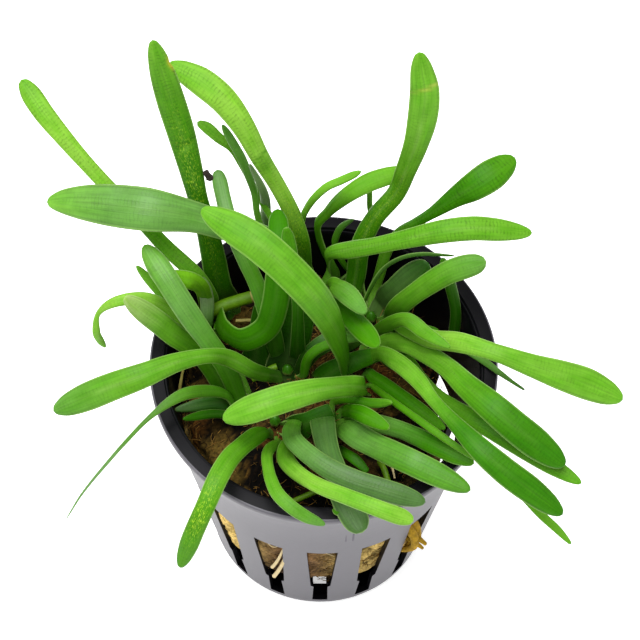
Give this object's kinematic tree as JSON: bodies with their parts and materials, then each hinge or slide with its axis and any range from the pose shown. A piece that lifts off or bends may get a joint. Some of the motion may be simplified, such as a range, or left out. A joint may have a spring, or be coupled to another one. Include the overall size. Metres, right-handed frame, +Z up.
{
  "type": "potted dwarf sagittaria",
  "caption": "Potted aquarium plant: rosettes of flat strap leaves on a mineral wool plug in a round tapered net pot with slotted walls and floor. It stands on the pot's flat underside.",
  "frame": {"origin": "middle of the pot's flat underside", "axes": "+Z up through the pot's axis, +X to the right in the picture, +Y away from the camera"},
  "size_m": [0.0922, 0.0676, 0.0926],
  "materials": {
    "pot": "satin dark grey injection-moulded plastic",
    "wool": "matt brown mineral wool, loose fibres",
    "crown": "soft pale green plant stem, slightly glossy",
    "leaf": "thin green leaf blade, waxy, lets some light through"
  },
  "bodies": {
    "root": {"crown_centre": "crown", "crown_east": "crown", "crown_front": "crown", "crown_middle": "crown", "crown_north": "crown", "crown_south": "crown", "crown_southwest": "crown", "crown_west": "crown", "leaf_centre_1": "leaf", "leaf_centre_2": "leaf", "leaf_centre_3": "leaf", "leaf_centre_4": "leaf", "leaf_east_1": "leaf", "leaf_east_10": "leaf", "leaf_east_11": "leaf", "leaf_east_12": "leaf", "leaf_east_2": "leaf", "leaf_east_3": "leaf", "leaf_east_4": "leaf", "leaf_east_5": "leaf", "leaf_east_6": "leaf", "leaf_east_7": "leaf", "leaf_east_8": "leaf", "leaf_east_9": "leaf", "leaf_front_1": "leaf", "leaf_front_2": "leaf", "leaf_front_3": "leaf", "leaf_front_4": "leaf", "leaf_middle_1": "leaf", "leaf_middle_2": "leaf", "leaf_middle_3": "leaf", "leaf_middle_4": "leaf", "leaf_north_1": "leaf", "leaf_north_10": "leaf", "leaf_north_2": "leaf", "leaf_north_3": "leaf", "leaf_north_4": "leaf", "leaf_north_5": "leaf", "leaf_north_6": "leaf", "leaf_north_7": "leaf", "leaf_north_8": "leaf", "leaf_north_9": "leaf", "leaf_south_1": "leaf", "leaf_south_2": "leaf", "leaf_south_3": "leaf", "leaf_south_4": "leaf", "leaf_south_5": "leaf", "leaf_southwest_1": "leaf", "leaf_southwest_2": "leaf", "leaf_southwest_3": "leaf", "leaf_southwest_4": "leaf", "leaf_southwest_5": "leaf", "leaf_southwest_6": "leaf", "leaf_west_1": "leaf", "leaf_west_2": "leaf", "leaf_west_3": "leaf", "leaf_west_4": "leaf", "leaf_west_5": "leaf", "net_pot": "pot", "wool_plug": "wool"}
  },
  "joints": []
}
